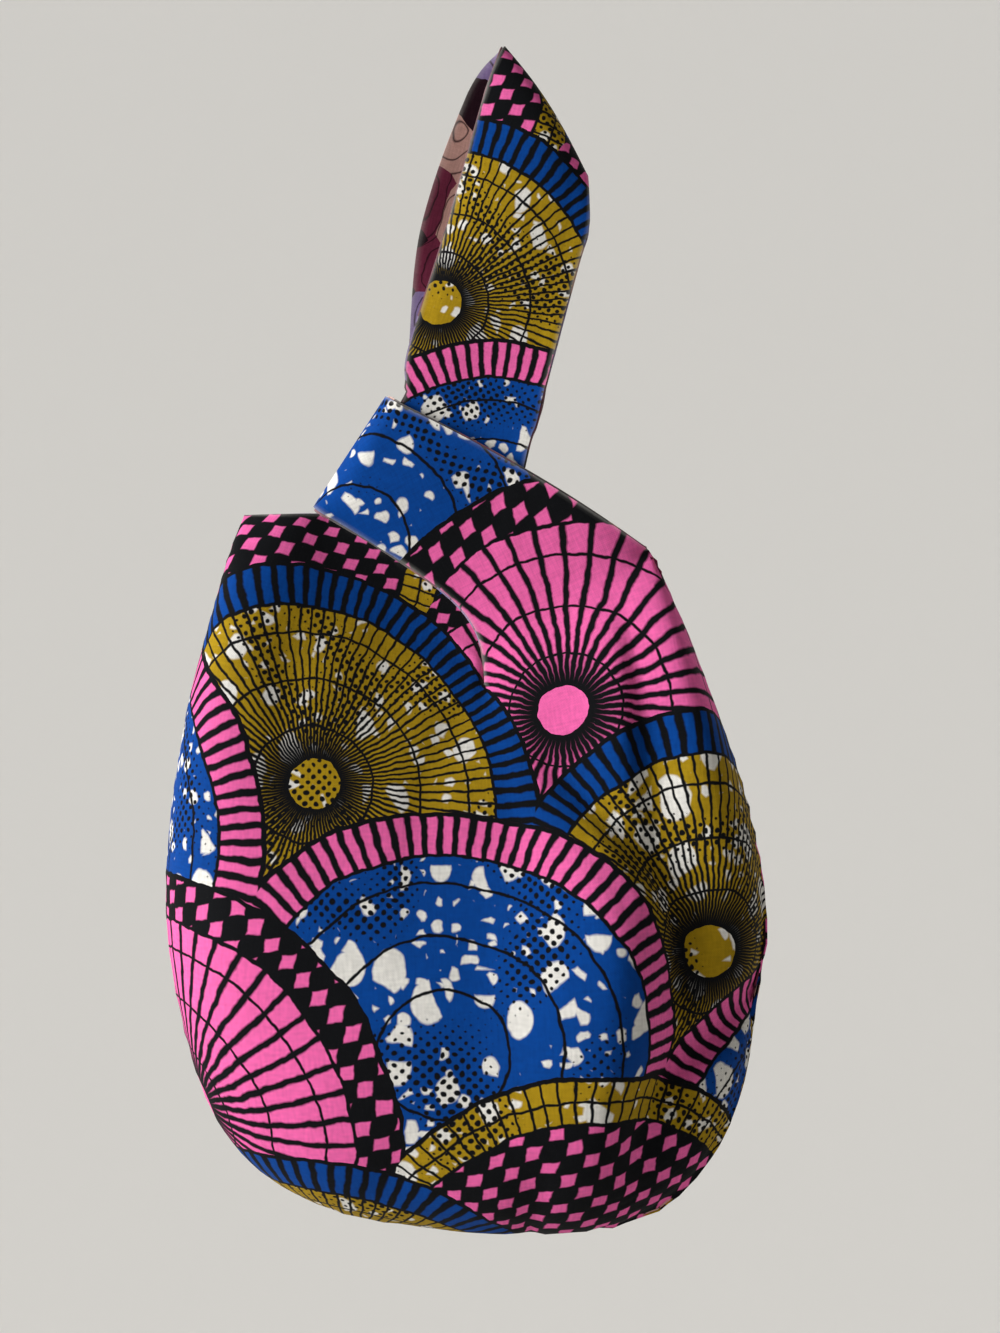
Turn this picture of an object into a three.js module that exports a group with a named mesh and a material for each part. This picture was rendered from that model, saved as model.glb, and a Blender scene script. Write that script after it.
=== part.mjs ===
import * as THREE from 'three';

// Japanese knot bag, hanging by its long loop with the short loop closed round it.
// Millimetres. +X is to the right seen from the front, +Y to the back, +Z up.
// The origin is the underside of the long loop's crown, where a peg carries the bag.

// Cloth
const outerCloth = 1.2;
const liningCloth = 0.8;
const layerGap = 0.3;
const seamGap = 0.3;

// Body
const bodyWidth = 261;
const bodyHeight = 311;
const bodyOffset = 16.5;
const bellyFront = 56;
const bellyBack = 52;
const bellyFullness = 0.6;
const leftShoulderReach = 96.5;
const rightShoulderReach = 79;
const rightShoulderDrop = 15.5;
const creaseDepth = 16;
const creaseLeftWidth = 13;
const creaseRightWidth = 26;
const pinchDepth = 8;
const pinchWidth = 15;
const creaseStart = 0.3;

// Long loop, measured along and across its own slanting centre line
const shoulderDrop = 203;
const handleLean = 16;
const handleWidth = 63;
const crownWidth = 50;
const crownFall = 44;
const crownRadius = 9;
const loopOpening = 26;
const backHalfOffset = 7;
const frontTuck = 4.3;
const crownBow = 3.5;
const rootWidth = 84;
const rootFall = 52;
const rootDepth = 220;
const knotDepth = 146;
const knotWidth = 58.5;
const knotOffset = 3.75;
const knotFall = 11;
const bendRise = 15;
const bendLength = 16;
const midDepth = 62;
const upperDepth = 22;

// Short loop
const shortLoopWidth = 57;
const foldClear = 8;
const foldDepth = 8;
const edgeBow = 6;
const neckGap = 2;
const neckRise = 31;
const cornerEase = 0.14;
const shoulderSettle = 0.45;

// Depths front to back at the mouth, measured from the side seams
const knotHalfDepth = 5;
const armholeHalfDepth = 6.5;
const armholeGape = 6;
const neckHalfDepth = 13;
const threadClear = 3;

// Mesh counts
const armholeColumns = 5;
const strapColumns = 12;
const bodyRows = 13;
const rootRows = 6;
const bendRows = 2;
const openRows = 4;
const upperRows = 2;
const shortLoopRows = 9;
const crownAngles = [5, 15, 30, 45, 60, 75, 90];
const foldAngles = [30, 60, 90];

const clothDepth = outerCloth + layerGap + liningCloth;
const degree = Math.PI / 180;
const front = -1;
const back = 1;

const mix = THREE.MathUtils.lerp;
const ease = (t) => THREE.MathUtils.smoothstep(t, 0, 1);
const flat = (x, z) => new THREE.Vector2(x, z);

// Long loop: local axes across and along the strap, in the plane seen from the front
const strapAcross = flat(Math.cos(handleLean * degree), -Math.sin(handleLean * degree));
const strapAlong = flat(Math.sin(handleLean * degree), Math.cos(handleLean * degree));
const crownMiddle = flat(0, clothDepth)
  .addScaledVector(strapAcross, crownWidth / 2)
  .addScaledVector(strapAlong, -crownFall / 2);

function onStrap(across, along) {
  return crownMiddle.clone().addScaledVector(strapAcross, across).addScaledVector(strapAlong, along);
}

// Stations along the long loop, from its root on the body to the crown, counted in spans
const station = { root: 0, knot: 1, bendLow: 2, bendTop: 3, middle: 4, upper: 5, crown: 6 };

// One edge of the long loop: sign -1 is the left edge
function strapEdge(sign, side) {
  const offset = side === back ? -backHalfOffset : 0;
  const tuck = side === front && sign < 0 ? frontTuck : 0;
  const bendLow = knotDepth - bendRise;
  const bendWidth = (knotWidth + handleWidth) / 2;
  return new THREE.SplineCurve([
    onStrap(sign * rootWidth / 2, -rootDepth - sign * rootFall / 2),
    onStrap(knotOffset + sign * knotWidth / 2, -knotDepth - sign * knotFall / 2),
    onStrap(knotOffset + sign * knotWidth / 2, -bendLow),
    onStrap(knotOffset / 2 + sign * bendWidth / 2, -bendLow + bendLength),
    onStrap(offset + tuck + sign * handleWidth / 2, -midDepth),
    onStrap(offset / 2 + tuck + sign * handleWidth / 2, -upperDepth - sign * crownFall / 2),
    onStrap(sign * crownWidth / 2, -sign * crownFall / 2),
  ]);
}
const strapEdges = {
  [front]: { left: strapEdge(-1, front), right: strapEdge(1, front) },
  [back]: { left: strapEdge(-1, back), right: strapEdge(1, back) },
};

// A point of the long loop: across runs from its left edge to its right edge
function strapPoint(side, across, span) {
  const edges = strapEdges[side];
  const left = edges.left.getPoint(span / station.crown);
  const place = left.lerp(edges.right.getPoint(span / station.crown), across);
  const rise = ease((span - station.middle) / (station.crown - station.middle));
  place.addScaledVector(strapAlong, crownBow * Math.sin(Math.PI * across) * rise);
  return new THREE.Vector3(place.x, side * strapDepth(across, span), place.y);
}

function strapDepth(across, span) {
  if (span <= station.knot) {
    const atRoot = mix(armholeHalfDepth, neckHalfDepth, across);
    return mix(knotHalfDepth, atRoot, (station.knot - span) ** 2);
  }
  const opened = ease(span - station.bendTop);
  const rise = THREE.MathUtils.clamp(span - station.upper, 0, 1);
  return mix(knotHalfDepth, loopOpening / 2, opened) * Math.sqrt(1 - rise ** crownFullness);
}
const crownFullness = 2 * crownRadius * upperDepth / (loopOpening / 2) ** 2;
const crownSpans = crownAngles.map((angle) => station.upper + Math.sin(angle * degree) ** (2 / crownFullness));

// Shoulders and the seam that runs from the left one round the base to the right one
const bodyMiddle = -bodyOffset;
const leftShoulder = flat(bodyMiddle - leftShoulderReach, -shoulderDrop + clothDepth);
const rightShoulder = flat(bodyMiddle + rightShoulderReach, leftShoulder.y - rightShoulderDrop);

function onBody(across, down) {
  return flat(bodyMiddle + across * bodyWidth / 2, leftShoulder.y - down * bodyHeight);
}
const seam = new THREE.SplineCurve([
  leftShoulder,
  onBody(-0.92, 0.26),
  onBody(-1, 0.5),
  onBody(-0.98, 0.64),
  onBody(-0.86, 0.82),
  onBody(-0.67, 0.92),
  onBody(-0.35, 0.978),
  onBody(0.24, 1),
  onBody(0.61, 0.976),
  onBody(0.84, 0.886),
  onBody(0.94, 0.77),
  onBody(0.955, 0.67),
  onBody(1, 0.58),
  onBody(0.935, 0.4),
  onBody(0.73, 0.16),
  rightShoulder,
]);
seam.arcLengthDivisions = 400;

// Short loop: its fold lies along the long loop's left edge, its ends on the neck and the right shoulder
const edgeRoot = strapEdges[front].left.getPoint(0);
const edgeKnot = strapEdges[front].left.getPoint(station.knot / station.crown);
const foldAlong = edgeKnot.clone().sub(edgeRoot).normalize();
const foldOut = flat(-foldAlong.y, foldAlong.x);
const foldTop = edgeKnot.clone().addScaledVector(foldOut, foldClear);
const foldBottom = foldTop.clone().addScaledVector(foldAlong, -shortLoopWidth);
const neckLeft = strapEdges[front].right.getPoint(0);
const neckRight = neckLeft.clone().add(flat(neckGap, 0));
const shortLoopHalfDepth = knotHalfDepth + threadClear + clothDepth;

const bandBottom = foldBottom.clone().addScaledVector(foldOut, -foldDepth);
const bandTop = foldTop.clone().addScaledVector(foldOut, -foldDepth);
const neckCorner = neckRight.clone().add(flat(0, neckRise));
const bandLower = new THREE.CubicBezierCurve(
  neckRight,
  neckCorner,
  neckCorner.clone().lerp(bandBottom, cornerEase),
  bandBottom,
);
const bandUpper = new THREE.QuadraticBezierCurve(
  rightShoulder,
  rightShoulder.clone().lerp(bandTop, 0.5).add(flat(0, edgeBow)),
  bandTop,
);

function bandPoint(side, across, along) {
  const place = bandLower.getPoint(along).lerp(bandUpper.getPoint(along), across);
  const atRoot = (neckHalfDepth + threadClear) * Math.sqrt(1 - across ** 2);
  const settle = Math.min(1, along / mix(1, shoulderSettle, across));
  const depth = mix(atRoot, shortLoopHalfDepth, Math.sqrt(1 - (1 - settle) ** 2));
  return new THREE.Vector3(place.x, side * depth, place.y);
}

function foldPoint(side, across, angle) {
  const out = foldOut.clone().multiplyScalar(foldDepth * Math.sin(angle * degree));
  const start = bandPoint(side, across, 1);
  return new THREE.Vector3(start.x + out.x, start.y * Math.cos(angle * degree), start.z + out.y);
}

// Body: columns run from the mouth's edge down to the seam
function mouthEdge(side) {
  const edge = [];
  const root = strapPoint(side, 0, 0);
  for (let i = 0; i < armholeColumns; i += 1) {
    const t = i / armholeColumns;
    const place = leftShoulder.clone().lerp(flat(root.x, root.z), t);
    const depth = armholeHalfDepth * Math.sin(t * Math.PI / 2) + armholeGape * Math.sin(t * Math.PI);
    edge.push(new THREE.Vector3(place.x, side * depth, place.y));
  }
  for (let i = 0; i <= strapColumns; i += 1) {
    edge.push(strapPoint(side, i / strapColumns, 0));
  }
  for (let i = 0; i <= strapColumns; i += 1) {
    edge.push(bandPoint(side, i / strapColumns, 0));
  }
  return edge;
}

// Folds of the front: a valley from the neck to the base, steep on its left, and a pinch at the right side
const valley = new THREE.SplineCurve([
  neckRight,
  onBody(0.33, 0.4),
  onBody(0.58, 0.53),
  onBody(0.62, 0.69),
  onBody(0.57, 0.82),
  onBody(0.47, 0.95),
]);
const pinch = new THREE.SplineCurve([onBody(0.97, 0.67), onBody(0.82, 0.69), onBody(0.68, 0.8)]);
const folds = [
  { line: valley.getPoints(60), depth: creaseDepth, left: creaseLeftWidth, right: creaseRightWidth },
  { line: pinch.getPoints(30), depth: pinchDepth, left: pinchWidth, right: pinchWidth },
];

function foldAt({ line, depth, left, right }, here) {
  let nearest = 1;
  line.forEach((point, i) => {
    nearest = i > 0 && point.distanceTo(here) < line[nearest].distanceTo(here) ? i : nearest;
  });
  const offset = here.clone().sub(line[nearest]);
  const turn = line[nearest].clone().sub(line[nearest - 1]).cross(offset);
  return depth * Math.exp(-((offset.length() / (turn > 0 ? right : left)) ** 2));
}

// How far the body stands out from mouth to seam, before it is scaled to the belly
const bulge = (drop) => drop * (2 - drop) * Math.sqrt(Math.max(0, 1 - drop ** 4));
const spanList = (from, to, count) => Array.from({ length: count + 1 }, (_, i) => mix(from, to, i / count));
const fullestBulge = Math.max(...spanList(0, 1, 100).map(bulge));

function bodyPatch(side) {
  const edge = mouthEdge(side);
  const run = [0];
  edge.slice(1).forEach((point, i) => run.push(run[i] + point.distanceTo(edge[i])));
  const total = run[run.length - 1];
  const belly = side === front ? bellyFront : bellyBack;
  return (column, row) => {
    const share = run[column] / total;
    const drop = Math.sin(row / bodyRows * Math.PI / 2);
    const place = flat(edge[column].x, edge[column].z).lerp(seam.getPointAt(share), drop);
    const swell = belly * Math.sin(Math.PI * share) ** bellyFullness;
    let depth = Math.abs(edge[column].y) * (1 - drop) ** 2 + swell * bulge(drop) / fullestBulge;
    if (side === front) {
      const taper = Math.sqrt(Math.max(0, 1 - drop ** 4)) * ease(drop / creaseStart);
      folds.forEach((fold) => {
        depth -= foldAt(fold, place) * taper;
      });
    }
    return new THREE.Vector3(place.x, side * depth, place.y);
  };
}

// The whole cloth surface is one welded mesh of polygons, each tagged with its piece
const weldStep = 1e-3;
const points = [];
const known = new Map();
const polygons = [];

function weld(point) {
  const key = point.toArray().map((value) => Math.round(value / weldStep)).join();
  if (!known.has(key)) {
    known.set(key, points.length);
    points.push(point);
  }
  return known.get(key);
}

// upward says that rows climb, so that each polygon's normal points out of the bag
function addPatch(piece, side, columns, rows, upward, place) {
  for (let i = 0; i < columns; i += 1) {
    for (let j = 0; j < rows; j += 1) {
      const ring = [place(i, j), place(i + 1, j), place(i + 1, j + 1), place(i, j + 1)].map(weld);
      const corners = ring.filter((id, k) => id !== ring[(k + 3) % 4]);
      if (corners.length < 3) {
        continue;
      }
      polygons.push({ piece, corners: (side === front) === upward ? corners : corners.reverse() });
    }
  }
}

const rootSpans = [...spanList(station.root, station.knot, rootRows), station.bendLow];
const bendSpans = spanList(station.bendLow, station.bendTop, bendRows);
const openSpans = [
  ...spanList(station.bendTop, station.middle, openRows),
  ...spanList(station.middle, station.upper, upperRows).slice(1),
  ...crownSpans,
];

for (const side of [front, back]) {
  const name = side === front ? 'front' : 'back';
  const strap = (spans) => (i, j) => strapPoint(side, i / strapColumns, spans[j]);
  const bodyColumns = armholeColumns + 2 * strapColumns + 1;
  addPatch(`body_${name}`, side, bodyColumns, bodyRows, false, bodyPatch(side));
  addPatch(`body_${name}`, side, strapColumns, rootSpans.length - 1, true, strap(rootSpans));
  addPatch(`long_loop_bend_${name}`, side, strapColumns, bendRows, true, strap(bendSpans));
  addPatch(`long_loop_${name}`, side, strapColumns, openSpans.length - 1, true, strap(openSpans));
  const bandRow = (i, j) => (j <= shortLoopRows
    ? bandPoint(side, i / strapColumns, j / shortLoopRows)
    : foldPoint(side, i / strapColumns, foldAngles[j - shortLoopRows - 1]));
  addPatch(`short_loop_${name}`, side, strapColumns, shortLoopRows + foldAngles.length, true, bandRow);
}

// Normals of the whole surface, so that neighbouring pieces meet square to it
const normals = points.map(() => new THREE.Vector3());
const edgeUse = new Map();
for (const polygon of polygons) {
  const ring = polygon.corners.map((id) => points[id]);
  polygon.normal = new THREE.Vector3();
  for (let k = 1; k + 1 < ring.length; k += 1) {
    const a = ring[k].clone().sub(ring[0]);
    polygon.normal.add(a.cross(ring[k + 1].clone().sub(ring[0])));
  }
  polygon.corners.forEach((id, k) => {
    normals[id].add(polygon.normal);
    const next = polygon.corners[(k + 1) % polygon.corners.length];
    const key = [id, next].sort((a, b) => a - b).join();
    edgeUse.set(key, (edgeUse.get(key) ?? 0) + 1);
  });
  polygon.normal.normalize();
}
normals.forEach((normal) => normal.normalize());

// One layer of one piece: its outer face, its inner face and a wall along each edge
function clothSolid(piece, outerOffset, innerOffset) {
  const mine = polygons.filter((polygon) => polygon.piece === piece);
  const used = new Set();
  for (const { corners } of mine) {
    corners.forEach((id, k) => used.add(`${id},${corners[(k + 1) % corners.length]}`));
  }
  const border = [];
  const pull = new Map();
  for (const { corners, normal } of mine) {
    corners.forEach((id, k) => {
      const next = corners[(k + 1) % corners.length];
      if (used.has(`${next},${id}`)) {
        return;
      }
      border.push([id, next]);
      if (edgeUse.get([id, next].sort((a, b) => a - b).join()) === 2) {
        const inward = normal.clone().cross(points[next].clone().sub(points[id])).normalize();
        for (const end of [id, next]) {
          pull.set(end, (pull.get(end) ?? new THREE.Vector3()).add(inward));
        }
      }
    });
  }
  const ids = [...new Set(mine.flatMap(({ corners }) => corners))];
  const order = new Map(ids.map((id, k) => [id, k]));
  const position = [];
  for (const offset of [outerOffset, innerOffset]) {
    for (const id of ids) {
      const place = points[id].clone().addScaledVector(normals[id], -offset);
      if (pull.has(id)) {
        place.addScaledVector(pull.get(id).clone().normalize(), seamGap / 2);
      }
      position.push(...place.toArray());
    }
  }
  const index = [];
  for (const { corners } of mine) {
    const ring = corners.map((id) => order.get(id));
    for (let k = 1; k + 1 < ring.length; k += 1) {
      index.push(ring[0], ring[k], ring[k + 1]);
      index.push(ids.length + ring[0], ids.length + ring[k + 1], ids.length + ring[k]);
    }
  }
  for (const [from, to] of border) {
    const a = order.get(from);
    const b = order.get(to);
    index.push(a, ids.length + a, ids.length + b, a, ids.length + b, b);
  }
  const geometry = new THREE.BufferGeometry();
  geometry.setAttribute('position', new THREE.Float32BufferAttribute(position, 3));
  geometry.setIndex(index);
  geometry.computeVertexNormals();
  return geometry;
}

const layers = [
  { layer: 'outer', from: 0, to: outerCloth },
  { layer: 'lining', from: outerCloth + layerGap, to: clothDepth },
];
const colours = {
  body_outer: 0x14479c,
  body_lining: 0x6b2a3f,
  long_loop_outer: 0xd9508f,
  long_loop_lining: 0xc9a39a,
  long_loop_bend_outer: 0xd9508f,
  long_loop_bend_lining: 0xc9a39a,
  short_loop_outer: 0x8d7a17,
  short_loop_lining: 0xb99ac0,
};

const bag = new THREE.Group();
for (const piece of [...new Set(polygons.map((polygon) => polygon.piece))]) {
  for (const { layer, from, to } of layers) {
    const cloth = piece.replace(/_(front|back)$/, '');
    const material = new THREE.MeshStandardMaterial({
      color: colours[`${cloth}_${layer}`],
      roughness: 0.85,
      metalness: 0,
    });
    const mesh = new THREE.Mesh(clothSolid(piece, from, to), material);
    mesh.name = `${piece}_${layer}`;
    bag.add(mesh);
  }
}

export default bag;
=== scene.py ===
import math

import bpy
import numpy as np
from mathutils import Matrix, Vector
from mathutils.kdtree import KDTree
from mathutils.noise import noise as noiseAt


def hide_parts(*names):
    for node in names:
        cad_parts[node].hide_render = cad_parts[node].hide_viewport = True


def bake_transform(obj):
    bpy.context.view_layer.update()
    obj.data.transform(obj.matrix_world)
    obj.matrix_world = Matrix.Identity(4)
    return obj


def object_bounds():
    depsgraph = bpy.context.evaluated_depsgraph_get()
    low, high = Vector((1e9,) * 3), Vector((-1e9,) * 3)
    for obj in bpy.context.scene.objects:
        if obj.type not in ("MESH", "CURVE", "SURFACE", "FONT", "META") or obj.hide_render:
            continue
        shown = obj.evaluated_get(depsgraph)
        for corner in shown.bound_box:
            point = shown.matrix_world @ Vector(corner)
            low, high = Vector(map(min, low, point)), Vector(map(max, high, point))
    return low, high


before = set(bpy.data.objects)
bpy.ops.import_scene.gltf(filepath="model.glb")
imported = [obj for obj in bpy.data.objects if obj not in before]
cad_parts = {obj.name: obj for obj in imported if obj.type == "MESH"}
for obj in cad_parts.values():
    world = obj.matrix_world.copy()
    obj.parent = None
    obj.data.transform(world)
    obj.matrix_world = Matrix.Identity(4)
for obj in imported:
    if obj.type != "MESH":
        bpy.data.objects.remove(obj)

cadLow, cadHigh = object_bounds()
mm = 0.001

# camera and studio, in metres

shot = {
    "distance": 1.25,       # from the bag's middle plane
    "frameHeight": 0.5776,  # what the picture's height takes in at that plane
    "centreX": -0.0022,
    "centreZ": -0.2663,
}
studio = {
    "floorDrop": 1.3,           # floor below the bag's base
    "floorSize": 60.0,
    "wallAway": 2.3,
    "wallHeight": 5.0,
    "cornerRadius": 0.5,
    "cornerSegments": 16,
    "edgeSlack": 0.01,          # how near the corner an edge counts as on it
    "paper": (0.76, 0.745, 0.715),
    "paperRoughness": 0.9,
    "air": (0.46, 0.45, 0.43),  # what shows past the paper
    "glow": (1, 0.985, 0.96),
    "ambient": 0.15,
    "windowFrom": (-0.92, -0.42, 0.30),
    "windowStrength": 3.9,
    "windowSpread": 28.0,       # degrees
}


def clearSelection():
    if bpy.context.object and bpy.context.object.mode != "OBJECT":
        bpy.ops.object.mode_set(mode="OBJECT")
    bpy.ops.object.select_all(action="DESELECT")


def makeActive(piece):
    clearSelection()
    piece.select_set(True)
    bpy.context.view_layer.objects.active = piece


def addCamera():
    bpy.ops.object.camera_add(location=(shot["centreX"], -shot["distance"], shot["centreZ"]),
                              rotation=(math.pi / 2, 0, 0))
    camera = bpy.context.object
    camera.data.lens = camera.data.sensor_width * shot["distance"] / shot["frameHeight"]
    camera.data.dof.use_dof = False
    bpy.context.scene.camera = camera


def addWindowLight():
    bpy.ops.object.light_add(type="SUN", location=studio["windowFrom"])
    lamp = bpy.context.object
    lamp.name = "window_light"
    lamp.data.energy = studio["windowStrength"]
    lamp.data.angle = math.radians(studio["windowSpread"])
    lamp.rotation_euler = Vector(studio["windowFrom"]).to_track_quat("Z", "Y").to_euler()


def addAir():
    world = bpy.data.worlds.new("studioAir")
    bpy.context.scene.world = world
    world.use_nodes = True
    tree = world.node_tree
    glow = tree.nodes["Background"]
    glow.inputs["Color"].default_value = (*studio["glow"], 1)
    glow.inputs["Strength"].default_value = studio["ambient"]
    shown = tree.nodes.new("ShaderNodeBackground")
    shown.inputs["Color"].default_value = (*studio["air"], 1)
    path = tree.nodes.new("ShaderNodeLightPath")
    seen = path.outputs["Is Camera Ray"]
    for ray in ("Is Glossy Ray", "Is Transmission Ray"):
        either = tree.nodes.new("ShaderNodeMath")
        either.operation = "MAXIMUM"
        tree.links.new(seen, either.inputs[0])
        tree.links.new(path.outputs[ray], either.inputs[1])
        seen = either.outputs[0]
    mix = tree.nodes.new("ShaderNodeMixShader")
    tree.links.new(seen, mix.inputs[0])
    tree.links.new(glow.outputs[0], mix.inputs[1])
    tree.links.new(shown.outputs[0], mix.inputs[2])
    tree.links.new(mix.outputs[0], tree.nodes["World Output"].inputs["Surface"])


def selectAtWall(sweep, below=math.inf):
    atWall = studio["wallAway"] - studio["edgeSlack"]
    for edge in sweep.data.edges:
        ends = [sweep.data.vertices[i].co for i in edge.vertices]
        edge.select = all(co.y > atWall and co.z < below for co in ends)


def addStudio():
    floorLevel = cadLow.z - studio["floorDrop"]
    half = studio["floorSize"] / 2
    bpy.ops.mesh.primitive_plane_add(size=studio["floorSize"],
                                     location=(0, studio["wallAway"] - half, floorLevel))
    sweep = bpy.context.object
    sweep.name = "paper_sweep"
    bpy.ops.object.transform_apply(location=True)
    bpy.ops.object.mode_set(mode="EDIT")
    bpy.ops.mesh.select_all(action="DESELECT")
    bpy.ops.object.mode_set(mode="OBJECT")
    selectAtWall(sweep)
    bpy.ops.object.mode_set(mode="EDIT")
    bpy.ops.mesh.select_mode(type="EDGE")
    wallUp = (0, 0, studio["wallHeight"])
    bpy.ops.mesh.extrude_region_move(TRANSFORM_OT_translate={"value": wallUp})
    bpy.ops.object.mode_set(mode="OBJECT")
    selectAtWall(sweep, floorLevel + studio["edgeSlack"])
    bpy.ops.object.mode_set(mode="EDIT")
    bpy.ops.mesh.bevel(offset=studio["cornerRadius"], segments=studio["cornerSegments"])
    bpy.ops.object.mode_set(mode="OBJECT")
    bpy.ops.object.shade_smooth()
    paper = bpy.data.materials.new("backdropPaper")
    paper.use_nodes = True
    shader = paper.node_tree.nodes["Principled BSDF"]
    shader.inputs["Base Color"].default_value = (*studio["paper"], 1)
    shader.inputs["Roughness"].default_value = studio["paperRoughness"]
    sweep.data.materials.append(paper)


addCamera()
addStudio()
addWindowLight()
addAir()
bpy.context.scene.view_settings.view_transform = "Standard"
print("camera and studio ready")

# cutting out: curves that every panel is shaped on, in millimetres

curveSteps = {"even": 1600, "fold": 90, "seam": 900, "bulge": 200}  # points worked out along each


def spline(points, share):
    stops = np.asarray(points, float)
    spans = len(stops) - 1
    place = np.clip(np.asarray(share, float), 0, 1) * spans
    i = np.minimum(place.astype(int), spans - 1)
    t = (place - i)[..., None]
    p0, p1 = stops[np.maximum(i - 1, 0)], stops[i]
    p2, p3 = stops[i + 1], stops[np.minimum(i + 2, spans)]
    a, b = (p2 - p0) / 2, (p3 - p1) / 2
    cubic, square = 2 * p1 - 2 * p2 + a + b, 3 * p2 - 3 * p1 - 2 * a - b
    return cubic * t ** 3 + square * t ** 2 + a * t + p1


def evenSpline(points, share):
    dense = spline(points, np.linspace(0, 1, curveSteps["even"]))
    run = np.concatenate([[0], np.cumsum(np.linalg.norm(np.diff(dense, axis=0), axis=1))])
    wanted = np.asarray(share, float) * run[-1]
    return np.stack([np.interp(wanted, run, dense[:, k]) for k in range(2)], axis=-1)


def bezier(stops, t):
    t = np.asarray(t, float)[..., None]
    last = len(stops) - 1
    return sum(math.comb(last, k) * (1 - t) ** (last - k) * t ** k * stop
               for k, stop in enumerate(stops))


def blendTo(a, b, t):
    return a + (b - a) * t


def ease(t):
    t = np.clip(t, 0, 1)
    return t * t * (3 - 2 * t)


# long loop: a strap whose two halves meet at the crown
strap = {
    "lean": 16.0,  # degrees
    "width": 63.0, "opening": 26.0, "backOffset": 7.0, "frontTuck": 4.3, "curl": 3.2,
    "crownWidth": 50.0, "crownFall": 44.0, "crownRadius": 9.0, "crownBow": 3.5,
    "upperDepth": 22.0, "midDepth": 62.0, "bendRise": 15.0, "bendLength": 16.0,
    "knotDepth": 146.0, "knotWidth": 58.5, "knotOffset": 3.75, "knotFall": 11.0, "knotHalf": 5.0,
    "rootDepth": 220.0, "rootWidth": 84.0, "rootFall": 52.0,
    "clothDepth": 2.3, "columns": 56, "rows": 150,
}
lean = math.radians(strap["lean"])
strapAcross = np.array([math.cos(lean), -math.sin(lean)])
strapAlong = np.array([math.sin(lean), math.cos(lean)])
crownMiddle = (np.array([0, strap["clothDepth"]]) + strapAcross * strap["crownWidth"] / 2
               - strapAlong * strap["crownFall"] / 2)
bendLow = strap["knotDepth"] - strap["bendRise"]
rootStop, knotStop, _, bendTopStop, middleStop, upperStop, crownStop = range(7)


def onStrap(across, along):
    return crownMiddle + strapAcross * across + strapAlong * along


def strapEdge(sign, side):
    offset = -strap["backOffset"] if side > 0 else 0
    tuck = strap["frontTuck"] if side < 0 and sign < 0 else 0
    bendWidth = (strap["knotWidth"] + strap["width"]) / 2
    return [
        onStrap(sign * strap["rootWidth"] / 2, -strap["rootDepth"] - sign * strap["rootFall"] / 2),
        onStrap(strap["knotOffset"] + sign * strap["knotWidth"] / 2,
                -strap["knotDepth"] - sign * strap["knotFall"] / 2),
        onStrap(strap["knotOffset"] + sign * strap["knotWidth"] / 2, -bendLow),
        onStrap(strap["knotOffset"] / 2 + sign * bendWidth / 2, -bendLow + strap["bendLength"]),
        onStrap(offset + tuck + sign * strap["width"] / 2, -strap["midDepth"]),
        onStrap(offset / 2 + tuck + sign * strap["width"] / 2,
                -strap["upperDepth"] - sign * strap["crownFall"] / 2),
        onStrap(sign * strap["crownWidth"] / 2, -sign * strap["crownFall"] / 2),
    ]


# mouth: half depths of the armhole and the neck, and the room that the loops keep
mouth = {
    "armholeHalf": 6.5, "armholeGape": 6.0, "neckHalf": 13.0, "threadClear": 3.0, "neckGap": 0.5,
}
crownFullness = 2 * strap["crownRadius"] * strap["upperDepth"] / (strap["opening"] / 2) ** 2


def strapPoint(side, across, span):
    left = spline(strapEdge(-1, side), span / crownStop)
    right = spline(strapEdge(1, side), span / crownStop)
    nearCrown = ease((span - middleStop) / (crownStop - middleStop))
    bow = strap["crownBow"] * np.sin(math.pi * across) * nearCrown
    flat = blendTo(left, right, across[..., None]) + strapAlong * bow[..., None]
    atRoot = blendTo(mouth["armholeHalf"], mouth["neckHalf"], across)
    depth = blendTo(strap["knotHalf"], atRoot, np.clip(1 - span, 0, 1) ** 2)
    curled = strap["opening"] / 2 - strap["curl"] * (2 * across - 1) ** 2
    depth = blendTo(depth, curled, ease(span - bendTopStop))
    rise = np.clip(span - upperStop, 0, 1)
    depth = depth * np.sqrt(np.clip(1 - rise ** crownFullness, 0, 1))
    return np.stack([flat[..., 0], side * depth, flat[..., 1]], axis=-1)


# pouch: everything hangs from the two shoulders
pouch = {
    "width": 261.0, "height": 311.0, "offset": 16.5, "shoulderDrop": 203.0,
    "leftReach": 96.5, "rightReach": 79.0, "rightDrop": 15.5,
    "bellyFront": 56.0, "bellyBack": 52.0, "fullness": 0.6,
    "armholeColumns": 40, "rows": 130,
    "seamForward": 0.2, "seamForwardShare": 0.69, "seamForwardSpread": 0.13,
}
leftShoulder = np.array([-pouch["offset"] - pouch["leftReach"],
                         strap["clothDepth"] - pouch["shoulderDrop"]])
rightShoulder = np.array([-pouch["offset"] + pouch["rightReach"],
                          leftShoulder[1] - pouch["rightDrop"]])


def onPouch(across, down):
    return np.array([-pouch["offset"] + across * pouch["width"] / 2,
                     leftShoulder[1] - down * pouch["height"]])


seamStops = [leftShoulder] + [onPouch(*stop) for stop in [
    (-0.92, 0.26), (-1, 0.5), (-0.98, 0.64), (-0.86, 0.82), (-0.67, 0.92), (-0.35, 0.978),
    (0.24, 1), (0.61, 0.976), (0.84, 0.886), (0.94, 0.77), (0.955, 0.67), (1, 0.58),
    (0.935, 0.4), (0.73, 0.16)]]
seamStops.append(rightShoulder)

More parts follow.
